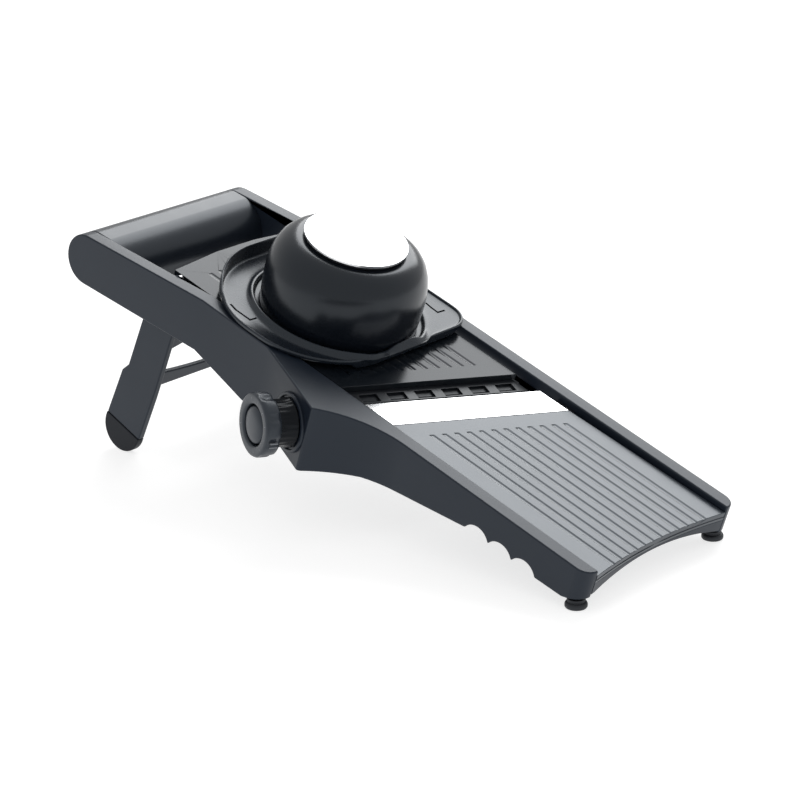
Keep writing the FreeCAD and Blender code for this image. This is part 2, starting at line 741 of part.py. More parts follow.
CLIP_GAP = 0.2
CLIP_THICKNESS = 1.2
CLIP_RADIUS = 5.5
clip = rod("clip_disc", CLIP_RADIUS, -BUSHING_DEPTH - CLIP_GAP - CLIP_THICKNESS, -BUSHING_DEPTH - CLIP_GAP)
clip_bore = rod("clip_bore", size.shaft_radius, -2 * BUSHING_DEPTH, 0.0)
node(combine("Cut", "shaft_clip", clip, clip_bore), in_knob)

bearing_middle = (bearing_x[0] + bearing_x[1]) / 2
bearing_u = along_blade(size.blade_place + size.shaft_back / cosine(slant), bearing_middle)
BEARING_HALF = 8.0
bearing_block = block("bearing_block", bearing_x, (bearing_u - BEARING_HALF, bearing_u + BEARING_HALF),
                      (-shaft_depth - BEARING_HALF, -shaft_depth + BEARING_HALF))
bearing_bore = rod_in(knob_frame, "bearing_bore", bearing_radius, -FAR_OUT - shaft_length, 0.0)
node(combine("Cut", "shaft_bearing", bearing_block, bearing_bore), in_deck)

NECK_LOW = COLLAR_THICKNESS + 0.4
RIM_EDGE = 1.4
FLANGE_RISE = 0.8
node(turned("knob", [
    (size.shaft_radius, NECK_LOW), (size.neck_radius, NECK_LOW), (size.neck_radius, size.neck_length),
    (size.knob_radius, size.neck_length + FLANGE_RISE), (size.knob_radius, size.knob_length - RIM_EDGE),
    (size.knob_radius - RIM_EDGE, size.knob_length), (size.button_radius + size.free_gap, size.knob_length),
    (size.button_radius + size.free_gap, KNOB_FLOOR), (0.0, KNOB_FLOOR), (0.0, SHAFT_LOCAL_END),
    (size.shaft_radius, SHAFT_LOCAL_END)]), in_knob)

SPRING_SOLID = 1.4
BUTTON_SINK = 0.2
BUTTON_CROWN = 1.2
CROWN_SHARE = 0.76
CROWN_FLAT = 1.0
button_low = KNOB_FLOOR + size.button_travel + SPRING_SOLID
button_edge = size.knob_length - BUTTON_SINK
node(turned("knob_button", [
    (0.0, button_low), (size.button_radius, button_low), (size.button_radius, button_edge),
    ("via", size.button_radius / 2, button_edge + CROWN_SHARE * BUTTON_CROWN),
    (CROWN_FLAT, button_edge + BUTTON_CROWN),
    (0.0, button_edge + BUTTON_CROWN)]), in_knob)
SPRING_INNER = 4.5
SPRING_OUTER = 6.5
node(turned("button_spring", rectangle(SPRING_INNER, SPRING_OUTER, KNOB_FLOOR, button_low)), in_knob)

# ---------------------------------------------------------------- folding leg

tilt = size.deck_tilt
leg_pivot_y = size.leg_place * cosine(tilt) + size.leg_depth * sine(tilt)
leg_pivot_z = size.front_height + size.leg_place * sine(tilt) - size.leg_depth * cosine(tilt)
leg_lean = math.degrees(math.acos(((leg_pivot_z - size.leg_foot_radius) / size.leg_length).number))
in_leg = Placement(Vector(0, leg_pivot_y.number, leg_pivot_z.number), Rotation(Vector(1, 0, 0), leg_lean))

LEG_PLAY = 0.8
strap_outer = wall_inner - LEG_PLAY
strap_inner = strap_outer - size.strap_thickness
STRAP_HALF = 11.7
STRAP_STEP = 50.0
STRAP_NECK = 10.5
STEP_RUN = 6.0
STEP_EASE = 0.4
SHOE_RISE = 2.0
seam = size.leg_length - SHOE_RISE
foot_half = size.leg_foot_radius
strap_path = [(-STRAP_HALF, 0.0), ("via", 0.0, STRAP_HALF), (STRAP_HALF, 0.0), (STRAP_NECK, -STRAP_STEP),
              (foot_half - STEP_EASE, -STRAP_STEP - STEP_RUN), (foot_half, -seam), (-foot_half, -seam),
              (STEP_EASE / 2 - foot_half, -STRAP_STEP)]
tip_path = [(foot_half, -seam), (foot_half, -size.leg_length), ("via", 0.0, -size.leg_length - foot_half),
            (-foot_half, -size.leg_length), (-foot_half, -seam)]
TIP_SWELL = 0.4
strap_pair = []
tip_pair = []
for low, high in ((strap_inner, strap_outer), (-strap_outer, -strap_inner)):
    strap = new_body("strap")
    pad(strap, "YZ_Plane", low, high, strap_path)
    strap_pair.append(strap)
    tip = new_body("tip")
    pad(tip, "YZ_Plane", low - TIP_SWELL, high + TIP_SWELL, tip_path)
    tip_pair.append(tip)
WEB_FRONT = 10.0
WEB_THICKNESS = 3.0
WEB_TOP = 6.0
WEB_FOOT = 26.0
WEB_ARCH = 18.0
BAR_TOP = 42.0
BAR_SAG = 46.0
BAR_FOOT = 52.5
webs = new_body("webs")
upper_web = [(-strap_inner, -WEB_TOP), (-strap_inner, -WEB_FOOT), ("via", 0.0, -WEB_ARCH),
             (strap_inner, -WEB_FOOT), (strap_inner, -WEB_TOP)]
lower_web = [(-strap_inner, -BAR_FOOT), (strap_inner, -BAR_FOOT), (strap_inner, -BAR_TOP),
             ("via", 0.0, -BAR_SAG), (-strap_inner, -BAR_TOP)]
pad(webs, "XZ_Plane", WEB_FRONT - WEB_THICKNESS, WEB_FRONT, upper_web, lower_web)
leg_shape = fuse("leg_shape", strap_pair + [webs])
leg_bore = rod_across("leg_bore", size.leg_pin_radius + size.running_fit, -size.half_width, size.half_width,
                      0.0, 0.0)
node(combine("Cut", "leg_frame", leg_shape, leg_bore), in_leg)
node(group("leg_tips", tip_pair), in_leg)
PIN_STAND = 0.4
leg_pin_start = strap_inner - PIN_STAND
leg_pin_end = rail_inner + size.rail_width - SKIN
node(group("leg_pins", [
    rod_across("leg_pin", size.leg_pin_radius, low, high, size.leg_place, -size.leg_depth)
    for low, high in ((leg_pin_start, leg_pin_end), (-leg_pin_end, -leg_pin_start))]), in_deck)

# ---------------------------------------------------------------- grip and front feet

GRIP_CROWN = 6.4
GRIP_SHOULDER = 19.2
GRIP_SHOULDER_RISE = 9.9
CORNER_BOW = 0.3
NOSE_FALL = 3.0
CROWN_RISE = 0.5
grip_body = new_body("grip_body")
grip_nose = size.grip_place - size.grip_front
grip_floor = grip_w - size.arm_radius
pad(grip_body, "YZ_Plane", -rail_inner, rail_inner, [
    arm_edge(1), arm_end, arm_edge(-1), (grip_nose + size.grip_corner, grip_floor),
    ("via", grip_nose + CORNER_BOW * size.grip_corner, grip_floor + CORNER_BOW * size.grip_corner),
    (grip_nose, grip_floor + size.grip_corner), (grip_nose, grip_w - NOSE_FALL),
    ("via", size.grip_place - GRIP_SHOULDER, grip_w + GRIP_SHOULDER_RISE),
    (size.grip_place - GRIP_CROWN, grip_w + size.arm_radius + CROWN_RISE)])
grip_bore = rod_across("grip_bore", size.core_radius, -rail_inner - SKIN, rail_inner + SKIN,
                       size.grip_place, grip_w)
node(combine("Cut", "handle_grip", grip_body, grip_bore), in_deck)
core_half = rail_inner + CORE_REACH
node(rod_across("handle_core", size.core_radius, -core_half, core_half, size.grip_place, grip_w), in_deck)

STUB_SPARE = 0.1
feet = []
for sign in (-1, 1):
    disc = rod("foot_disc", size.foot_radius, 0.0, size.foot_height)
    stub = rod("foot_stub", STUB_RADIUS, size.foot_height - SKIN, size.post_base + STUB_DEPTH - STUB_SPARE)
    for piece in (disc, stub):
        bind(piece, "Placement.Base.x", sign * (size.half_width - size.foot_inset))
        bind(piece, "Placement.Base.y", size.foot_place)
    feet.append(fuse("foot", [disc, stub]))
node(group("front_feet", feet), Placement())

# ---------------------------------------------------------------- food holder

in_holder = in_deck.multiply(Placement(Vector(0, size.holder_place.number, 0), Rotation()))


def tray_outline(inset):
    """The plan of the tray, drawn in by inset, with its larger round corners on the knob side."""
    bend = 1 - math.sqrt(0.5)
    half = size.half_width - inset
    front = inset - size.tray_front
    rear = size.tray_rear - inset
    near_front = size.tray_near_front - inset
    near_rear = size.tray_near_rear - inset
    far_front = size.tray_far_front - inset
    far_rear = size.tray_far_rear - inset
    return [(near_front - half, front), (half - far_front, front),
            ("via", half - far_front * bend, front + far_front * bend), (half, front + far_front),
            (half, rear - far_rear), ("via", half - far_rear * bend, rear - far_rear * bend),
            (half - far_rear, rear),
            (near_rear - half, rear), ("via", near_rear * bend - half, rear - near_rear * bend),
            (-half, rear - near_rear), (-half, front + near_front),
            ("via", near_front * bend - half, front + near_front * bend)]


RIM_WALL = 2.2
PUSHER_GAP = 1.5
floor_top = size.tray_lift + size.tray_thickness
pusher_clearance = size.pusher_radius + PUSHER_GAP
tray_body = new_body("tray_body")
pad(tray_body, "XY_Plane", size.tray_lift, floor_top, tray_outline(0.0))
pad(tray_body, "XY_Plane", floor_top, floor_top + size.tray_rim, tray_outline(0.0), tray_outline(RIM_WALL))
tail_left = size.tray_near_rear - size.half_width
tail_right = size.half_width - size.tray_far_rear
pad(tray_body, "XY_Plane", floor_top, floor_top + size.tray_tail,
    rectangle(tail_left, tail_right, size.tray_rear - RIM_WALL, size.tray_rear))
RUNNER_HALF = 20.0
RUNNER_WIDTH = 3.0
RUNNER_PLAY = 0.6
APRON_HALF = 40.0
APRON_INSET = 1.0
runner_outer = rail_inner - RUNNER_PLAY
runner_inner = runner_outer - RUNNER_WIDTH
apron_front = APRON_INSET - size.tray_front
pad(tray_body, "XY_Plane", size.free_gap, size.tray_lift,
    rectangle(runner_inner, runner_outer, -RUNNER_HALF, RUNNER_HALF),
    rectangle(-runner_outer, -runner_inner, -RUNNER_HALF, RUNNER_HALF),
    rectangle(-APRON_HALF / 3, APRON_HALF, apron_front, apron_front + RIM_WALL))
tray_hole = rod("tray_hole", pusher_clearance, 0.0, floor_top + size.tray_rim)
dome_seat = rod("dome_seat", size.dome_radius, floor_top, floor_top + size.tray_tail + SKIN)
node(combine("Cut", "holder_tray", tray_body, fuse("tray_cuts", [tray_hole, dome_seat])), in_holder)

SHOULDER_SHARE = 0.46
CROWN_LIP = 2.0
ARC_OUT = 3.0
ARC_FALL = 6.2
ARC_LEAN = (0.75, 0.66)
shoulder_z = size.dome_top - SHOULDER_SHARE * size.dome_radius
crown_radius = size.disc_radius + CROWN_LIP
shell = size.dome_shell
arc_x = (size.dome_radius + crown_radius) / 2 + ARC_OUT
arc_z = size.dome_top - ARC_FALL
node(turned("holder_dome", [
    (size.dome_radius, floor_top), (size.dome_radius, shoulder_z), ("via", arc_x, arc_z),
    (crown_radius, size.dome_top), (size.post_radius + size.free_gap, size.dome_top),
    (size.post_radius + size.free_gap, size.dome_top - shell), (crown_radius, size.dome_top - shell),
    ("via", arc_x - ARC_LEAN[0] * shell, arc_z - ARC_LEAN[1] * shell), (size.dome_radius - shell, shoulder_z),
    (size.dome_radius - shell, floor_top)]), in_holder)

CAP_GAP = 0.3
PUSHER_LOW = 8.0
PUSHER_THICKNESS = 4.0
PRONG_LOW = 1.2
DISC_OVERHANG = 1.0
pusher_top = PUSHER_LOW + PUSHER_THICKNESS
ring_low = size.dome_top + CAP_GAP
disc_low = ring_low + size.ring_height
node(rod("disc_ring", size.disc_radius - DISC_OVERHANG, ring_low, disc_low), in_holder)
node(rod("steel_disc", size.disc_radius, disc_low, disc_low + size.disc_thickness), in_holder)

POST_SCREW_RADIUS = 2.0
POST_SCREW_DEPTH = 12.0
POST_HEAD_HEIGHT = 1.6
post_bar = rod("post_bar", size.post_radius, pusher_top, ring_low)
post_bore = rod("post_bore", POST_SCREW_RADIUS, pusher_top - SKIN, pusher_top + POST_SCREW_DEPTH)
node(combine("Cut", "plunger_post", post_bar, post_bore), in_holder)

PRONG_RINGS = ((12.0, 4), (24.0, 8))
prong_spots = [(radius, 360.0 * index / count) for radius, count in PRONG_RINGS for index in range(count)]


def prongs(name, radius, high):
    pins = []
    for ring, angle in prong_spots:
        pin = rod(name, radius, PRONG_LOW, high)
        pin.Placement.Base.x = ring * math.cos(math.radians(angle))
        pin.Placement.Base.y = ring * math.sin(math.radians(angle))
        pins.append(pin)
    return pins


PRONG_DEPTH = 2.5
pusher_disc = rod("pusher_disc", size.pusher_radius, PUSHER_LOW, pusher_top)
pusher_holes = prongs("prong_hole", size.prong_radius, PUSHER_LOW + PRONG_DEPTH)
pusher_holes.append(rod("pusher_screw_hole", POST_SCREW_RADIUS, PUSHER_LOW - SKIN, pusher_top + SKIN))
node(combine("Cut", "pusher_plate", pusher_disc, fuse("pusher_holes", pusher_holes)), in_holder)
node(group("prongs", prongs("prong", size.prong_radius, PUSHER_LOW + PRONG_DEPTH)), in_holder)
node(fuse("post_screw", [
    rod("post_screw_head", 2 * POST_SCREW_RADIUS, PUSHER_LOW - POST_HEAD_HEIGHT, PUSHER_LOW),
    rod("post_screw_shank", POST_SCREW_RADIUS, PUSHER_LOW - BORE_SPARE,
        pusher_top + POST_SCREW_DEPTH - BORE_SPARE)]), in_holder)
SPRING_GAP = 1.0
WIRE_WIDTH = 2.0
coil_inner = size.post_radius + SPRING_GAP
coil_side = rectangle(coil_inner, coil_inner + WIRE_WIDTH, pusher_top, size.dome_top - shell)
node(turned("plunger_spring", coil_side), in_holder)

# ---------------------------------------------------------------- placing, checks and files

doc.recompute()
whole = Part.makeCompound([piece.Shape for piece in nodes]).optimalBoundingBox(False, False)
to_origin = Placement(Vector(-(whole.XMin + whole.XMax) / 2, -(whole.YMin + whole.YMax) / 2, -whole.ZMin),
                      Rotation())
for piece in nodes:
    piece.Placement = to_origin.multiply(piece.Placement)
doc.recompute()

for thing in doc.Objects:
    if "Invalid" in thing.State or "Error" in thing.State:
        raise RuntimeError(f"{thing.Name} failed: {thing.State}")
for piece in nodes:
    if piece.Shape.isNull() or not piece.Shape.isValid():
        raise RuntimeError(f"{piece.Label} has no valid shape")

for old in os.listdir("parts"):
    if old.endswith(".step"):
        os.remove(os.path.join("parts", old))
for piece in nodes:
    piece.Shape.exportStep(f"parts/{piece.Label}.step")
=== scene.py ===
import json
import math

import bpy
from mathutils import Matrix, Vector

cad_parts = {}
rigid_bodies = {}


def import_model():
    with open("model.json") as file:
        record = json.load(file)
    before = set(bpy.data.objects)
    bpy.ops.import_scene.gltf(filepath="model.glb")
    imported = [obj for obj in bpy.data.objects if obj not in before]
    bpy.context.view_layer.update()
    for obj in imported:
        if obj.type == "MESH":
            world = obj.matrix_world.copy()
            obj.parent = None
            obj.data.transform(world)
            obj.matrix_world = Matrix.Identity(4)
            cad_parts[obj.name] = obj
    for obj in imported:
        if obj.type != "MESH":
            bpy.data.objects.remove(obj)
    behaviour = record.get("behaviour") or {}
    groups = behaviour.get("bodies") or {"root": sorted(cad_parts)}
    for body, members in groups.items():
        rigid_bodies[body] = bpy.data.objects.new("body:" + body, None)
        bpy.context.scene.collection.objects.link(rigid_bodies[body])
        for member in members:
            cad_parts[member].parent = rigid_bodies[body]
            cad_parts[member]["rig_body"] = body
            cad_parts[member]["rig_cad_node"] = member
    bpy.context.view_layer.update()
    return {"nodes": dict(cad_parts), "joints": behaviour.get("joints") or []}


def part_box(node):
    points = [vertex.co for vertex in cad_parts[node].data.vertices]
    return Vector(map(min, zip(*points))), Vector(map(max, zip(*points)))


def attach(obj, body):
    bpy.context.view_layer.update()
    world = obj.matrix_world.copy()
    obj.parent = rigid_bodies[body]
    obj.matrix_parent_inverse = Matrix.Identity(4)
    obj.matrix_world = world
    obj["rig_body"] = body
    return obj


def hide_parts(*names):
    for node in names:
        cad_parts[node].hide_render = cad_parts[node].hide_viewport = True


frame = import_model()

# ---- Side walls -------------------------------------------------------------------------
# Two long moulded walls carry everything else. They are glass-filled nylon with a fine
# satin skin, drawn from the tool with soft edges, and they are screwed to the cross pieces.

MM = 0.001
joint = {row["name"]: row for row in frame["joints"]}
deck_up = Vector(joint["teeth_lift"]["axis"])
deck_rear = Vector(joint["holder_slide"]["axis"])
PLATE_PIVOT_U = 312.0
PLATE_PIVOT_W = -1.75
FACE_TOLERANCE = 0.6
MERGE_DISTANCE = 1e-6
deck_origin = (Vector(joint["plate_tilt"]["pos_m"]) - PLATE_PIVOT_U * MM * deck_rear
               - PLATE_PIVOT_W * MM * deck_up)
in_deck = Matrix.LocRotScale(deck_origin, Matrix((Vector((1, 0, 0)), deck_rear, deck_up)).transposed(),
                             (MM, MM, MM))


def only(piece):
    """Select this piece alone and make it the active one."""
    bpy.ops.object.select_all(action="DESELECT")
    piece.select_set(True)
    bpy.context.view_layer.objects.active = piece
    return piece


def copy_of(node, name, whole=True):
    """A merged working copy of a CAD node, with its flat faces made whole again if asked."""
    only(frame["nodes"][node])
    bpy.ops.object.duplicate()
    piece = bpy.context.object
    piece.name = name
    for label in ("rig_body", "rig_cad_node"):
        del piece[label]
    piece.parent = None
    piece.matrix_world = Matrix.Identity(4)
    bpy.ops.object.mode_set(mode="EDIT")
    bpy.ops.mesh.customdata_custom_splitnormals_clear()
    bpy.ops.mesh.select_all(action="SELECT")
    bpy.ops.mesh.remove_doubles(threshold=MERGE_DISTANCE)
    if whole:
        bpy.ops.mesh.dissolve_limited(angle_limit=math.radians(FACE_TOLERANCE))
    bpy.ops.object.mode_set(mode="OBJECT")
    return piece


SHARP_ANGLE = 34.0
SMOOTH_ANGLE = 40


def soften(piece, radius, segments=3, angle=SHARP_ANGLE):
    """Round the sharp edges by a radius in millimetres and keep the broad faces flat to the light."""
    only(piece)
    bevel = piece.modifiers.new("edge", "BEVEL")
    bevel.width = radius * MM
    bevel.segments = segments
    bevel.angle_limit = math.radians(angle)
    bevel.use_clamp_overlap = False
    bevel.miter_outer = "MITER_ARC"
    bpy.ops.object.modifier_apply(modifier=bevel.name)
    bpy.ops.object.shade_smooth_by_angle(angle=math.radians(SMOOTH_ANGLE))
    weigh = piece.modifiers.new("weigh", "WEIGHTED_NORMAL")
    weigh.keep_sharp = True
    bpy.ops.object.modifier_apply(modifier=weigh.name)
    return piece


def settle(piece, body, slot, material, *nodes):
    """Give a finished piece its material and body, and hide the CAD nodes that it stands for; the slot is not
    used.
    """
    piece.data.materials.clear()
    piece.data.materials.append(material)
    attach(piece, body)
    if nodes:
        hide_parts(*nodes)
    return piece


def effect(name, inputs, outputs):
    """An empty shader group with named sockets, and its two ends."""
    group = bpy.data.node_groups.new(name, "ShaderNodeTree")
    for label, kind in inputs:
        group.interface.new_socket(label, in_out="INPUT", socket_type=kind)
    for label, kind in outputs:
        group.interface.new_socket(label, in_out="OUTPUT", socket_type=kind)
    return group, group.nodes.new("NodeGroupInput"), group.nodes.new("NodeGroupOutput")


def wire(group, source, output, target, entry):
    group.links.new(source.outputs[output], target.inputs[entry])


def sum_of(group, operation, first, second):
    """A math node; each term is a number or a (node, output) pair."""
    step = group.nodes.new("ShaderNodeMath")
    step.operation = operation
    for entry, term in enumerate((first, second)):
        if isinstance(term, tuple):
            wire(group, *term, step, entry)
        else:
            step.inputs[entry].default_value = term
    return step


def noise(group, scale, detail, stretch=None):
    """A noise pattern on the piece's own coordinates; scale is a number or a (node, output) pair."""
    place = group.nodes.new("ShaderNodeTexCoord")
    pattern = group.nodes.new("ShaderNodeTexNoise")
    pattern.inputs["Detail"].default_value = detail
    if stretch:
        turn = group.nodes.new("ShaderNodeMapping")
        turn.inputs["Scale"].default_value = stretch
        wire(group, place, "Object", turn, "Vector")
        wire(group, turn, "Vector", pattern, "Vector")
    else:
        wire(group, place, "Object", pattern, "Vector")
    if isinstance(scale, tuple):
        wire(group, *scale, pattern, "Scale")
    else:
        pattern.inputs["Scale"].default_value = scale
    return pattern


FLOAT = "NodeSocketFloat"
COLOUR = "NodeSocketColor"
moulded_skin, ends_in, ends_out = effect(
    "moulded_skin",
    [("Colour", COLOUR), ("Worn", COLOUR), ("Roughness", FLOAT), ("Grain", FLOAT), ("Wear", FLOAT)],
    [("Colour", COLOUR), ("Roughness", FLOAT), ("Height", FLOAT)])
cloud = noise(moulded_skin, 24.0, 3.0)
grain = noise(moulded_skin, (ends_in, "Grain"), 2.0)
scuff = noise(moulded_skin, 160.0, 5.0, (1.0, 0.25, 1.0))
shape = moulded_skin.nodes.new("ShaderNodeNewGeometry")
edge = sum_of(moulded_skin, "SUBTRACT", (shape, "Pointiness"), 0.515)
edge = sum_of(moulded_skin, "MULTIPLY", (edge, 0), 9.0)
edge.use_clamp = True
edge = sum_of(moulded_skin, "MULTIPLY", (edge, 0), (scuff, "Fac"))
edge = sum_of(moulded_skin, "MULTIPLY", (edge, 0), (ends_in, "Wear"))
shade = sum_of(moulded_skin, "MULTIPLY", (cloud, "Fac"), 0.26)
shade = sum_of(moulded_skin, "ADD", (shade, 0), 0.87)
tint = moulded_skin.nodes.new("ShaderNodeVectorMath")
tint.operation = "SCALE"
wire(moulded_skin, ends_in, "Colour", tint, 0)
wire(moulded_skin, shade, 0, tint, "Scale")
rub = moulded_skin.nodes.new("ShaderNodeMix")
rub.data_type = "RGBA"
wire(moulded_skin, edge, 0, rub, 0)
wire(moulded_skin, tint, 0, rub, "A")
wire(moulded_skin, ends_in, "Worn", rub, "B")
moulded_skin.links.new(rub.outputs[2], ends_out.inputs["Colour"])
haze = sum_of(moulded_skin, "SUBTRACT", (scuff, "Fac"), 0.5)
haze = sum_of(moulded_skin, "MULTIPLY", (haze, 0), 0.07)
haze = sum_of(moulded_skin, "ADD", (haze, 0), (ends_in, "Roughness"))
wire(moulded_skin, haze, 0, ends_out, "Roughness")
wire(moulded_skin, grain, "Fac", ends_out, "Height")


COOL_TINT = (0.86, 0.93, 1.0, 1)


def moulded(name, colour, worn, roughness, grain_scale, relief, wear=0.5, specular=0.5):
    """A moulded plastic or rubber; relief is the depth of the grain in millimetres."""
    material = bpy.data.materials.new(name)
    material.use_nodes = True
    tree = material.node_tree
    shader = tree.nodes["Principled BSDF"]
    skin = tree.nodes.new("ShaderNodeGroup")
    skin.node_tree = moulded_skin
    skin.inputs["Colour"].default_value = (*colour, 1)
    skin.inputs["Worn"].default_value = (*worn, 1)
    skin.inputs["Roughness"].default_value = roughness
    skin.inputs["Grain"].default_value = grain_scale
    skin.inputs["Wear"].default_value = wear
    bump = tree.nodes.new("ShaderNodeBump")
    bump.inputs["Strength"].default_value = 1.0
    bump.inputs["Distance"].default_value = relief * MM
    wire(tree, skin, "Height", bump, "Height")
    wire(tree, skin, "Colour", shader, "Base Color")
    wire(tree, skin, "Roughness", shader, "Roughness")
    wire(tree, bump, "Normal", shader, "Normal")
    shader.inputs["Specular IOR Level"].default_value = specular
    shader.inputs["Specular Tint"].default_value = COOL_TINT
    return material


charcoal = moulded("charcoal_nylon", (0.0075, 0.0115, 0.0195), (0.06, 0.068, 0.08), 0.36, 1900.0, 0.004,
                   specular=0.34)

WALL_EDGE = 0.9
for side, node in (("left_wall", "left_side"), ("right_wall", "right_side")):
    wall = soften(copy_of(node, side), WALL_EDGE)
    settle(wall, "frame", "charcoal", charcoal, node)

# ---- Outfeed deck and front skirt -------------------------------------------------------
# The fixed ribbed deck that cut food slides down, and the thin skirt that closes its bowed
# front edge. One nylon moulding each; the deck is the glossier, held by four screws below.

GROOVE_PITCH = 7.1
GROOVE_DEPTH = 0.9
GROOVE_SLOPE = 1.2
GROOVE_DIP = 0.34
LEVEL_SLACK = 0.02


def slope_grooves(piece, grooves):
    """Raise the groove floors and lean their side walls, so that the ribs between them are soft waves."""
    to_deck = in_deck.inverted()
    for vertex in piece.data.vertices:
        place = to_deck @ vertex.co
        if abs(place.z + GROOVE_DEPTH) < LEVEL_SLACK:
            index = round(place.x / GROOVE_PITCH + (grooves - 1) / 2)
            middle = (index - (grooves - 1) / 2) * GROOVE_PITCH
            place.x -= math.copysign(GROOVE_SLOPE, place.x - middle)
            place.z = -GROOVE_DIP
            vertex.co = in_deck @ place
    return piece


DECK_GROOVES = 12
DECK_EDGE = 0.3
SKIRT_EDGE = 0.4
SLOPE_ANGLE = 9.0
# Painted sheen: the deck's colour is painted lighter than the walls' charcoal nylon to stand in for the light
# it catches; its glossier finish comes from its lower roughness and higher specular.
deck_plastic_painted_sheen = moulded("deck_nylon_painted_sheen", (0.016, 0.022, 0.030), (0.10, 0.108, 0.12), 0.29, 1500.0, 0.0003,
                       specular=0.72)
deck = slope_grooves(copy_of("outfeed_deck", "ribbed_deck"), DECK_GROOVES)
settle(soften(deck, DECK_EDGE, 3, SLOPE_ANGLE), "frame", "charcoal", deck_plastic_painted_sheen, "outfeed_deck")
skirt = soften(copy_of("front_skirt", "bowed_skirt"), SKIRT_EDGE, 2)
settle(skirt, "frame", "charcoal", charcoal, "front_skirt")

# ---- Blade, its seat and rivet ----------------------------------------------------------
# A slanted strip of polished stainless steel with a ground edge, riveted to a moulded bar
# below it. The rivet's head is set flush with the strip.

brushed_steel, ends_in, ends_out = effect(
    "brushed_steel", [("Colour", COLOUR), ("Roughness", FLOAT)],
    [("Colour", COLOUR), ("Roughness", FLOAT), ("Height", FLOAT)])
lines = noise(brushed_steel, 900.0, 4.0, (0.03, 1.0, 1.0))
smear = noise(brushed_steel, 40.0, 3.0)
spread = sum_of(brushed_steel, "MULTIPLY", (smear, "Fac"), 0.12)
spread = sum_of(brushed_steel, "ADD", (spread, 0), (ends_in, "Roughness"))
wire(brushed_steel, spread, 0, ends_out, "Roughness")
wire(brushed_steel, lines, "Fac", ends_out, "Height")
bright = sum_of(brushed_steel, "MULTIPLY", (lines, "Fac"), 0.10)
bright = sum_of(brushed_steel, "ADD", (bright, 0), 0.95)
tone = brushed_steel.nodes.new("ShaderNodeVectorMath")
tone.operation = "SCALE"
wire(brushed_steel, ends_in, "Colour", tone, 0)
wire(brushed_steel, bright, 0, tone, "Scale")
wire(brushed_steel, tone, 0, ends_out, "Colour")


def metal(name, colour, roughness, relief):
    """Drawn, turned or polished steel; relief is the depth of its lines in millimetres."""
    material = bpy.data.materials.new(name)
    material.use_nodes = True
    tree = material.node_tree
    shader = tree.nodes["Principled BSDF"]
    skin = tree.nodes.new("ShaderNodeGroup")
    skin.node_tree = brushed_steel
    skin.inputs["Colour"].default_value = (*colour, 1)
    skin.inputs["Roughness"].default_value = roughness
    bump = tree.nodes.new("ShaderNodeBump")
    bump.inputs["Distance"].default_value = relief * MM
    wire(tree, skin, "Height", bump, "Height")
    wire(tree, skin, "Colour", shader, "Base Color")
    wire(tree, skin, "Roughness", shader, "Roughness")
    wire(tree, bump, "Normal", shader, "Normal")
    shader.inputs["Metallic"].default_value = 1.0
    return material


polished = metal("polished_steel", (0.80, 0.81, 0.825), 0.12, 0.002)
drawn = metal("drawn_steel", (0.56, 0.57, 0.58), 0.28, 0.006)
dark_plastic = moulded("dark_acetal", (0.005, 0.006, 0.008), (0.04, 0.04, 0.045), 0.34, 1700.0, 0.010,
                       specular=0.35)


def dress(material, slot, *nodes):
    """CAD nodes whose shape is right keep it and take a finish."""
    for node in nodes:
        frame["nodes"][node].data.materials.clear()
        frame["nodes"][node].data.materials.append(material)


dress(polished, "polished", "blade")
dress(drawn, "steel", "blade_rivet")
BAR_EDGE = 0.2
seat = soften(copy_of("blade_seat", "blade_bar"), BAR_EDGE, 2)
settle(seat, "frame", "charcoal", dark_plastic, "blade_seat")

# ---- Screws, rods and other inner pieces ------------------------------------------------
# Screws, guide rods, pins, springs, prongs, the grip's core and the cam shaft are drawn or
# turned steel. The carrier, cams, bearing, post and pressing plate are acetal mouldings.

dress(drawn, "steel", "frame_screws", "teeth_guides", "julienne_teeth", "plate_pins", "leg_pins",
      "handle_core", "post_screw", "prongs", "button_spring", "plunger_spring", "cam_shaft", "shaft_clip")
dress(dark_plastic, "dark", "teeth_carrier", "cams", "shaft_bushing", "shaft_bearing", "plunger_post",
      "pusher_plate", "disc_ring")

# ---- Infeed plate and slotted bar -------------------------------------------------------
# The ribbed plate that food rides on, in a glossier nylon. It tilts on two pins as the knob
# turns, and the slotted bar below its front edge lets the teeth through.

PLATE_GROOVES = 11
PLATE_EDGE = 0.25
# Painted shade: the plate's colour is painted darker than the deck's and the walls' nylon to stand in for the
# shade and dark reflection over most of it.
plate_plastic_painted_shade = moulded("plate_nylon_painted_shade", (0.005, 0.007, 0.010), (0.05, 0.055, 0.06), 0.19, 1500.0, 0.0003,
                        specular=0.26)
plate = slope_grooves(copy_of("infeed_plate", "ribbed_plate", whole=False), PLATE_GROOVES)
settle(soften(plate, PLATE_EDGE, 2, SLOPE_ANGLE), "plate", "charcoal", plate_plastic_painted_shade, "infeed_plate")
slots = soften(copy_of("slotted_bar", "window_bar"), BAR_EDGE, 2)
settle(slots, "plate", "dark", dark_plastic, "slotted_bar")

# ---- Knob and button --------------------------------------------------------------------
# The thickness knob is a hollow nylon turning with a fluted flange and a narrower neck, pressed
# on the cam shaft. A domed button sits in its face on a spring.

knob_out = Vector(joint["knob_turn"]["axis"])
knob_side = knob_out.cross(deck_up).normalized()
in_knob = Matrix.LocRotScale(
    Vector(joint["knob_turn"]["pos_m"]),
    Matrix((knob_out.cross(knob_side).normalized() * -1, knob_side * -1, knob_out)).transposed(),
    (MM, MM, MM))


LATHE_MERGE = 0.001


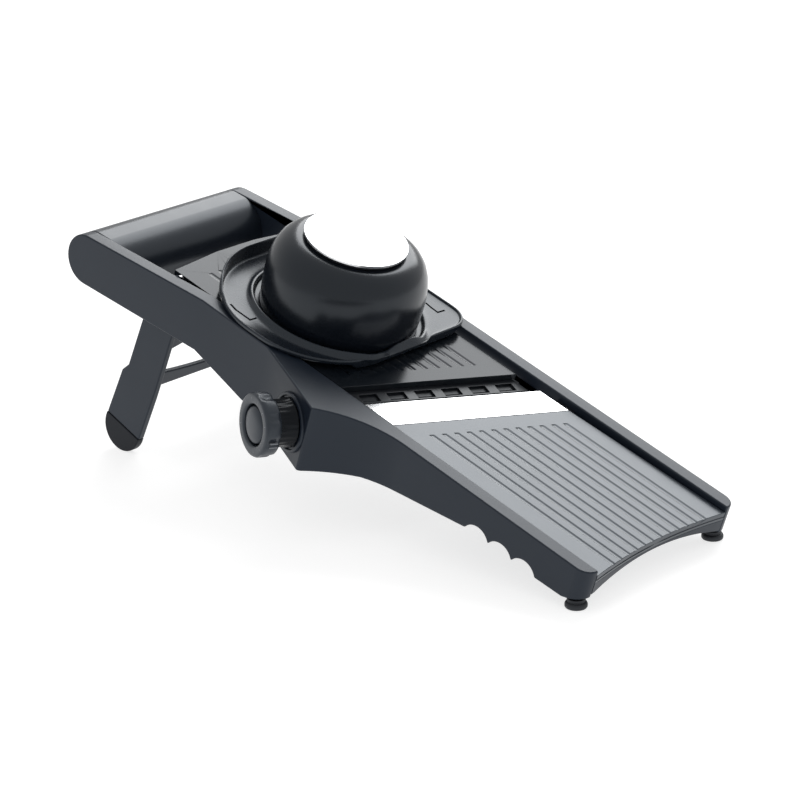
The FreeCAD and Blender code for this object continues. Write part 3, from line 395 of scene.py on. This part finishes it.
def lathe(name, profile, steps):
    """Spin a closed outline of (radius, height) in millimetres about the upright axis."""
    chain = bpy.data.meshes.new(name)
    count = len(profile)
    chain.from_pydata([(radius, 0, height) for radius, height in profile],
                      [(index, (index + 1) % count) for index in range(count)], [])
    piece = bpy.data.objects.new(name, chain)
    bpy.context.scene.collection.objects.link(piece)
    only(piece)
    bpy.ops.object.mode_set(mode="EDIT")
    bpy.ops.mesh.select_all(action="SELECT")
    bpy.ops.mesh.spin(steps=steps, angle=math.tau, center=(0, 0, 0), axis=(0, 0, 1))
    bpy.ops.mesh.select_all(action="SELECT")
    bpy.ops.mesh.remove_doubles(threshold=LATHE_MERGE)
    bpy.ops.mesh.dissolve_degenerate(threshold=LATHE_MERGE / 2)
    bpy.ops.mesh.normals_make_consistent(inside=False)
    bpy.ops.object.mode_set(mode="OBJECT")
    return piece


def lay(piece, place):
    """Put a piece drawn in millimetres in its place and leave its object at the origin."""
    piece.data.transform(place)
    piece.data.update()
    only(piece)
    return piece


KNOB_RADIUS = 17.5
KNOB_LENGTH = 22.4
FLUTES = 8
FLUTE_DEPTH = 1.3
FLUTE_ROOT = 14.5
FLUTE_FADE = 2.0
FLUTE_POWER = 1.2
FACE_START = 21.6
FACE_FADE = 2.5
TURNED_ANGLE = 38
knob = lathe("turn_knob", [
    (11.5, 11.6), (13.3, 11.6), (13.6, 12.4), (15.6, 12.9), (16.9, 13.6), (17.3, 14.4), (17.5, 15.8),
    (17.5, 17.4), (17.5, 19.2), (17.45, 20.8), (17.0, 21.8), (16.2, 22.3), (15.2, 22.4), (13.4, 22.35),
    (12.4, 22.3), (11.7, 22.0), (11.35, 21.4), (11.25, 20.6), (11.2, 15.1), (11.5, 14.2)], 160)
for vertex in knob.data.vertices:
    radius = math.hypot(vertex.co.x, vertex.co.y)
    if radius > FLUTE_ROOT:
        turn = math.atan2(vertex.co.y, vertex.co.x)
        dip = max(0.0, math.cos(FLUTES * turn)) ** FLUTE_POWER * FLUTE_DEPTH
        dip *= min(1.0, (radius - FLUTE_ROOT) / FLUTE_FADE)
        dip *= min(1.0, max(0.0, (FACE_START - vertex.co.z) / FACE_FADE))
        vertex.co.x *= 1 - dip / radius
        vertex.co.y *= 1 - dip / radius
lay(knob, in_knob)
bpy.ops.object.shade_smooth_by_angle(angle=math.radians(TURNED_ANGLE))
knob_plastic = moulded("knob_nylon", (0.017, 0.021, 0.028), (0.10, 0.105, 0.12), 0.34, 1600.0, 0.03)
settle(knob, "knob", "charcoal", knob_plastic, "knob")

NECK_RIBS = 24
RIB_HEIGHT = 0.12
RIB_ROOT = 12.5
neck = lathe("knob_neck", [
    (3.6, 1.3), (13.3, 1.3), (13.6, 1.8), (13.2, 3.0), (12.8, 6.0), (12.9, 9.5), (13.1, 12.2), (11.4, 12.4),
    (11.1, 14.4), (3.6, 14.2)], 192)
for vertex in neck.data.vertices:
    radius = math.hypot(vertex.co.x, vertex.co.y)
    if radius > RIB_ROOT:
        rib = RIB_HEIGHT * math.cos(NECK_RIBS * math.atan2(vertex.co.y, vertex.co.x))
        vertex.co.x *= 1 + rib / radius
        vertex.co.y *= 1 + rib / radius
lay(neck, in_knob)
bpy.ops.object.shade_smooth_by_angle(angle=math.radians(TURNED_ANGLE))
# Painted shade: the neck's colour is painted much darker than the flange of the same turning, for the shade
# it lies in between the flange and the wall.
neck_plastic_painted_shade = moulded("neck_nylon_painted_shade", (0.003, 0.0035, 0.005), (0.03, 0.03, 0.035), 0.26, 1700.0, 0.004,
                       specular=0.16)
settle(neck, "knob", "dark", neck_plastic_painted_shade, "knob")

collar = lathe("wall_ring", [
    (3.56, -6.0), (6.0, -6.0), (6.0, 0.05), (16.4, 0.05), (16.5, 0.8), (16.2, 1.5), (15.6, 1.8), (14.9, 1.7),
    (14.5, 1.1), (14.3, 0.6), (12.0, 0.5), (3.56, 0.5)], 96)
lay(collar, in_knob)
bpy.ops.object.shade_smooth_by_angle(angle=math.radians(TURNED_ANGLE))
settle(collar, "frame", "dark", charcoal, "shaft_bushing")

# Two moulded lines on the flange show the setting, with twelve short ticks on the face.
MARK_TURN = math.radians(97)
MARK_SPREAD = (-0.09, 0.06)
MARK_SIZE = (0.9, 0.7, 4.6)
MARK_SINK = 0.25
MARK_HEIGHT = 17.2
TICKS = 12
TICK_RADIUS = 14.4
TICK_SIZE = (1.3, 0.35, 0.2)
TICK_SINK = 0.05
MARK_EDGE = 0.06


def knob_line(turn, radius, height, extent):
    """A small moulded line at one turn round the knob's axis."""
    place = (radius * math.cos(turn), radius * math.sin(turn), height)
    bpy.ops.mesh.primitive_cube_add(size=1.0, location=place, rotation=(0, 0, turn), scale=extent)
    return bpy.context.object


marks = [knob_line(MARK_TURN + spread, KNOB_RADIUS - MARK_SINK, MARK_HEIGHT, MARK_SIZE)
         for spread in MARK_SPREAD]
marks += [knob_line(math.tau * tick / TICKS, TICK_RADIUS, KNOB_LENGTH - TICK_SINK, TICK_SIZE)
          for tick in range(TICKS)]
for mark in marks:
    only(mark)
    bpy.ops.object.transform_apply(location=True, rotation=True, scale=True)
only(marks[0])
for mark in marks:
    mark.select_set(True)
bpy.ops.object.join()
lines_piece = bpy.context.object
lines_piece.name = "knob_marks"
bevel = lines_piece.modifiers.new("edge", "BEVEL")
bevel.width = MARK_EDGE
bpy.ops.object.modifier_apply(modifier="edge")
lay(lines_piece, in_knob)
pale_mark = moulded("pale_mark", (0.16, 0.17, 0.185), (0.2, 0.2, 0.2), 0.4, 1600.0, 0.01)
settle(lines_piece, "knob", "charcoal", pale_mark)

button = lathe("push_button", [
    (0.0, 18.1), (9.9, 18.1), (10.2, 18.5), (10.3, 20.2), (10.15, 21.0), (9.6, 21.6), (8.8, 22.05),
    (7.2, 22.6), (5.2, 22.95), (2.8, 23.15), (0.0, 23.2)], 96)
lay(button, in_knob)
CROWN_ANGLE = 45
bpy.ops.object.shade_smooth_by_angle(angle=math.radians(CROWN_ANGLE))
settle(button, "button", "dark", knob_plastic, "knob_button")

# ---- Folding leg ------------------------------------------------------------------------
# One nylon moulding of two straps, an arched web and a bar, on two steel pins. Rubber shoes
# are pushed over the strap ends and meet the table.

rubber = moulded("soft_rubber", (0.010, 0.010, 0.012), (0.03, 0.03, 0.032), 0.55, 1300.0, 0.02, wear=0.2)
shoe_rubber = moulded("shoe_rubber", (0.008, 0.009, 0.012), (0.04, 0.04, 0.045), 0.5, 1300.0, 0.02, wear=0.3,
                      specular=0.2)
LEG_EDGE = 0.8
SHOE_EDGE = 0.6
settle(soften(copy_of("leg_frame", "leg_moulding"), LEG_EDGE), "leg", "charcoal", charcoal, "leg_frame")
settle(soften(copy_of("leg_tips", "leg_shoes"), SHOE_EDGE), "leg", "feet", shoe_rubber, "leg_tips")

# ---- Handle -----------------------------------------------------------------------------
# A hollow grip of smooth satin nylon, as deep as the arms, clamped on a steel rod.

GRIP_EDGE = 0.5
GRIP_ANGLE = 30.0
grip_skin = moulded("grip_skin", (0.007, 0.010, 0.016), (0.05, 0.055, 0.06), 0.31, 2200.0, 0.005)
grip = soften(copy_of("handle_grip", "smooth_grip"), GRIP_EDGE, 3, GRIP_ANGLE)
settle(grip, "frame", "grip", grip_skin, "handle_grip")

# ---- Front feet -------------------------------------------------------------------------
# Two rubber buttons pushed into the front posts, each with a groove above its pad.

low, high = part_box("front_feet")
FOOT_RADIUS = 6.0
for name, middle in (("foot_near", low.x + FOOT_RADIUS * MM), ("foot_far", high.x - FOOT_RADIUS * MM)):
    foot = lathe(name, [
        (0.0, 0.0), (4.6, 0.0), (5.5, 0.3), (5.95, 1.0), (5.95, 2.2), (5.6, 3.0), (5.0, 3.3), (4.6, 3.5),
        (4.6, 4.0), (4.9, 4.3), (4.7, 5.2), (3.0, 5.6), (3.0, 8.0), (0.0, 8.0)], 64)
    lay(foot, Matrix.LocRotScale(Vector((middle, (low.y + high.y) / 2, 0)), None, (MM, MM, MM)))
    bpy.ops.object.shade_smooth_by_angle(angle=math.radians(SMOOTH_ANGLE))
    settle(foot, "frame", "feet", rubber, *(("front_feet",) if name == "foot_near" else ()))

# ---- Food holder ------------------------------------------------------------------------
# A hat-shaped guard. Its brim is one thin moulding with a raised lip, a high rear wall and a
# wavy collar round a deep gutter, and its crown is a smooth dome set inside the collar.

HOLDER_U = 239.6
in_holder = in_deck @ Matrix.Translation((0, HOLDER_U, 0))
BRIM_HALF = 64.0
BRIM_FRONT = -47.0
BRIM_REAR = 64.4
CORNERS = ((-1, -1, 47.0), (-1, 1, 55.0), (1, -1, 16.0), (1, 1, 40.0))
SPOKES = 112
FLOOR_W = 5.1
COLLAR_RADIUS = 49.6
RINGS = 19
OUTER_RINGS = 5
RING_STEP = 0.06
PAST_BRIM = 120.0
HALVINGS = 26


def inside_brim(x, v, inset):
    """Whether a place in the brim's plan lies inside its edge drawn in by inset."""
    if abs(x) > BRIM_HALF - inset or v < BRIM_FRONT + inset or v > BRIM_REAR - inset:
        return False
    for side, end, radius in CORNERS:
        middle_x = side * (BRIM_HALF - radius)
        middle_v = BRIM_REAR - radius if end > 0 else BRIM_FRONT + radius
        if (x - middle_x) * side > 0 and (v - middle_v) * end > 0:
            return math.hypot(x - middle_x, v - middle_v) <= radius - inset
    return True


def brim_reach(turn, inset):
    """How far the brim's edge, drawn in by inset, lies from the dome's axis in one direction."""
    near, far = 0.0, PAST_BRIM
    for _ in range(HALVINGS):
        middle = (near + far) / 2
        if inside_brim(middle * math.cos(turn), middle * math.sin(turn), inset):
            near = middle
        else:
            far = middle
    return near


def along(table, value):
    """Straight-line value of a table of (place, value) rows, softened at its knots."""
    for (low_place, low_value), (high_place, high_value) in zip(table, table[1:]):
        if value <= high_place:
            share = max(0.0, (value - low_place) / (high_place - low_place))
            share = share * share * (3 - 2 * share)
            return low_value + (high_value - low_value) * share
    return table[-1][1]


RIM_HEIGHT = ((-50, 6.6), (-20, 6.5), (20, 6.4), (30, 6.8), (41, 8.9), (52, 11.4), (61, 13.9), (66, 14.2))
COLLAR_HEIGHT = ((-180, 8.6), (-130, 8.3), (-112, 7.6), (-103, 7.0), (-92, 9.2), (-76, 9.9), (-66, 7.2),
                 (-50, 5.6), (0, 5.5), (90, 5.6), (125, 7.0), (150, 8.2), (180, 8.6))
BRIM_LOW = 3.6
APRON_LOW = 0.9
APRON_FRONT = -44
APRON_ENDS = (-50, 52)

rings = [[] for _ in range(RINGS)]
for spoke in range(SPOKES):
    turn = math.tau * spoke / SPOKES
    degrees = math.degrees(turn)
    degrees = degrees - 360 if degrees > 180 else degrees
    edge_v = brim_reach(turn, 0.0) * math.sin(turn)
    edge_x = brim_reach(turn, 0.0) * math.cos(turn)
    rim = along(RIM_HEIGHT, edge_v)
    collar = along(COLLAR_HEIGHT, degrees)
    collar_reach = min(COLLAR_RADIUS, brim_reach(turn, 1.1))
    squeeze = min(1.0, max(0.0, (COLLAR_RADIUS - collar_reach) / 2.0))
    foot = FLOOR_W + (min(collar, rim) - 0.4 - FLOOR_W) * squeeze
    lowest = BRIM_LOW
    if edge_v < APRON_FRONT and APRON_ENDS[0] < edge_x < APRON_ENDS[1]:
        lowest = APRON_LOW
    profile = [
        (43.6, 2.2), (44.2, 3.0), (collar_reach - 2.0, 3.0), (collar_reach - 1.5, 4.0),
        (collar_reach - 1.2, collar - 0.9), (collar_reach - 0.5, collar), (collar_reach + 0.6, collar - 0.1),
        (collar_reach + 1.5, foot + 0.5 * (collar - foot)), (collar_reach + 3.6, foot),
        (brim_reach(turn, 2.9), FLOOR_W + (foot - FLOOR_W) * squeeze), (brim_reach(turn, 2.0), FLOOR_W + 0.3),
        (brim_reach(turn, 1.75), rim - 0.5), (brim_reach(turn, 1.1), rim),
        (brim_reach(turn, 0.3), rim - 0.35), (brim_reach(turn, 0.05), rim - 1.2),
        (brim_reach(turn, 0.35), lowest + 0.3), (brim_reach(turn, 0.8), lowest),
        (brim_reach(turn, 2.0), lowest + 0.1), (brim_reach(turn, 2.6), BRIM_LOW)]
    reach = 0.0
    for ring, (radius, height) in zip(rings[:-OUTER_RINGS], profile[:-OUTER_RINGS]):
        reach = max(radius, reach + RING_STEP)
        ring.append((reach * math.cos(turn), reach * math.sin(turn), height))
    for ring, (radius, height) in zip(rings[-OUTER_RINGS:], profile[-OUTER_RINGS:]):
        ring.append((radius * math.cos(turn), radius * math.sin(turn), height))

bpy.ops.object.select_all(action="DESELECT")
bpy.ops.mesh.primitive_circle_add(vertices=SPOKES, radius=1.0)
brim = bpy.context.object
brim.name = "holder_brim"
for vertex, place in zip(brim.data.vertices, rings[0]):
    vertex.co = place
for ring in rings[1:]:
    bpy.ops.object.mode_set(mode="EDIT")
    bpy.ops.mesh.extrude_edges_move()
    bpy.ops.object.mode_set(mode="OBJECT")
    for vertex, place in zip([v for v in brim.data.vertices if v.select], ring):
        vertex.co = place
bpy.ops.object.mode_set(mode="EDIT")
bpy.ops.mesh.select_mode(type="EDGE")
bpy.ops.mesh.select_all(action="DESELECT")
bpy.ops.mesh.select_non_manifold()
bpy.ops.mesh.bridge_edge_loops()
bpy.ops.mesh.select_all(action="SELECT")
bpy.ops.mesh.normals_make_consistent(inside=False)
bpy.ops.mesh.select_mode(type="VERT")
bpy.ops.object.mode_set(mode="OBJECT")
smooth = brim.modifiers.new("smooth", "SUBSURF")
smooth.levels = 2
smooth.render_levels = 2
bpy.ops.object.modifier_apply(modifier="smooth")

# Sunk arrows on both wings show which way the guard slides.
STROKE_WIDTH = 1.35
STROKE_DEPTH = 1.5
STROKE_OVERRUN = 1.1
strokes = (((-54.6, 31.2), (-55.9, 26.0)), ((-55.9, 26.2), (-55.9, 14.6)), ((-56.1, 14.8), (-52.0, 14.2)),
           ((52.0, -19.8), (51.2, -25.0)), ((51.2, -24.8), (51.0, -30.0)), ((50.8, -29.8), (56.0, -30.2)))
cutters = []
for (x0, v0), (x1, v1) in strokes:
    length = math.hypot(x1 - x0, v1 - v0) + STROKE_OVERRUN
    bpy.ops.mesh.primitive_cube_add(
        size=1.0, location=((x0 + x1) / 2, (v0 + v1) / 2, FLOOR_W),
        rotation=(0, 0, math.atan2(v1 - v0, x1 - x0)), scale=(length, STROKE_WIDTH, STROKE_DEPTH))
    cutters.append(bpy.context.object)
for cutter in cutters:
    only(brim)
    sink = brim.modifiers.new("arrow", "BOOLEAN")
    sink.object = cutter
    sink.operation = "DIFFERENCE"
    sink.solver = "EXACT"
    bpy.ops.object.modifier_apply(modifier="arrow")
for cutter in cutters:
    bpy.data.objects.remove(cutter)
lay(brim, in_holder)
BRIM_ANGLE = 50
bpy.ops.object.shade_smooth_by_angle(angle=math.radians(BRIM_ANGLE))
brim_plastic = moulded("brim_nylon", (0.007, 0.010, 0.015), (0.06, 0.065, 0.075), 0.27, 1700.0, 0.001,
                       wear=0.0, specular=0.46)
settle(brim, "holder", "charcoal", brim_plastic, "holder_tray")

dome = lathe("holder_crown", [
    (44.6, 3.7), (44.9, 8.0), (45.3, 13.0), (45.55, 19.0), (45.5, 24.5), (45.0, 30.0), (43.8, 35.2),
    (41.8, 39.8), (38.9, 43.5), (35.6, 46.0), (32.8, 47.2), (31.4, 47.55), (29.6, 47.6), (27.0, 47.6),
    (8.6, 47.6), (8.6, 45.2), (28.0, 45.0), (32.4, 43.8), (37.4, 40.4), (41.0, 34.6), (42.6, 26.0),
    (42.9, 14.0), (42.4, 3.7)], 160)
lay(dome, in_holder)
bpy.ops.object.shade_smooth_by_angle(angle=math.radians(CROWN_ANGLE))
# Painted shade: the crown's colour is painted darker than the brim's nylon to stand in for the shade and dark
# reflection low on the dome.
dome_plastic_painted_shade = moulded("dome_nylon_painted_shade", (0.0035, 0.005, 0.008), (0.04, 0.045, 0.05), 0.24, 1900.0, 0.001,
                       wear=0.0, specular=0.45)
settle(dome, "holder", "charcoal", dome_plastic_painted_shade, "holder_dome")
dress(polished, "polished", "steel_disc")

# ---- Floor, light and camera ------------------------------------------------------------
# A pale sheet of paper that glows a little, under a broad soft light from behind on the
# right, seen from the knob's side by a long lens.

AZIMUTH = math.radians(-48.2316)
ELEVATION = math.radians(20.4546)
ROLL = math.radians(-0.2540)


def sheet(name, grey, glow):
    """A matt grey stage material that may glow a little."""
    material = bpy.data.materials.new(name)
    material.use_nodes = True
    shader = material.node_tree.nodes["Principled BSDF"]
    shader.inputs["Base Color"].default_value = (grey, grey, grey, 1)
    shader.inputs["Roughness"].default_value = 0.9
    shader.inputs["Emission Color"].default_value = (1, 1, 1, 1)
    shader.inputs["Emission Strength"].default_value = glow
    return material


bpy.ops.mesh.primitive_plane_add(size=12.0, location=(0, 0, 0))
floor = bpy.context.object
floor.name = "studio_floor"
floor.data.materials.append(sheet("white_paper", 0.42, 0.72))

# A dark card lies on the floor between the slicer and the eye, and only its reflection shows.
bpy.ops.mesh.primitive_plane_add(size=1.0, location=(-0.76, -0.68, 0.001), rotation=(0, 0, AZIMUTH),
                                 scale=(0.8, 1.1, 1.0))
card = bpy.context.object
card.name = "dark_card"
card.visible_camera = False
card.visible_shadow = False
card.data.materials.append(sheet("dark_felt", 0.05, 0.0))

world = bpy.data.worlds.new("studio")
bpy.context.scene.world = world
world.use_nodes = True
world.node_tree.nodes["Background"].inputs["Color"].default_value = (1, 1, 1, 1)
world.node_tree.nodes["Background"].inputs["Strength"].default_value = 0.72


TARGET = Vector((0, 0, 0.07))


def soft_light(name, direction, distance, size, power):
    """A square soft box that looks at the middle of the object."""
    lamp = bpy.data.lights.new(name, "AREA")
    lamp.shape = "SQUARE"
    lamp.size = size
    lamp.energy = power
    box = bpy.data.objects.new(name, lamp)
    bpy.context.scene.collection.objects.link(box)
    back = Vector(direction).normalized()
    box.location = TARGET + back * distance
    box.rotation_mode = "QUATERNION"
    box.rotation_quaternion = back.to_track_quat("Z", "Y")


soft_light("key", (0.70, 0.31, 0.65), 1.6, 1.3, 21.0)

eye = bpy.data.cameras.new("eye")
eye.lens = 128.829
eye.sensor_width = 36.0
eye.clip_start = 0.05
camera = bpy.data.objects.new("camera", eye)
bpy.context.scene.collection.objects.link(camera)
back = Vector((math.sin(AZIMUTH) * math.cos(ELEVATION), -math.cos(AZIMUTH) * math.cos(ELEVATION),
               math.sin(ELEVATION)))
right = Vector((math.cos(AZIMUTH), math.sin(AZIMUTH), 0))
up = back.cross(right)
rolled_right = right * math.cos(ROLL) + up * math.sin(ROLL)
rolled_up = up * math.cos(ROLL) - right * math.sin(ROLL)
camera.rotation_mode = "QUATERNION"
camera.rotation_quaternion = Matrix((rolled_right, rolled_up, back)).transposed().to_quaternion()
camera.location = (-1.08165, -0.99145, 0.60454)
bpy.context.scene.camera = camera
bpy.context.scene.view_settings.view_transform = "Standard"

bpy.context.view_layer.update()
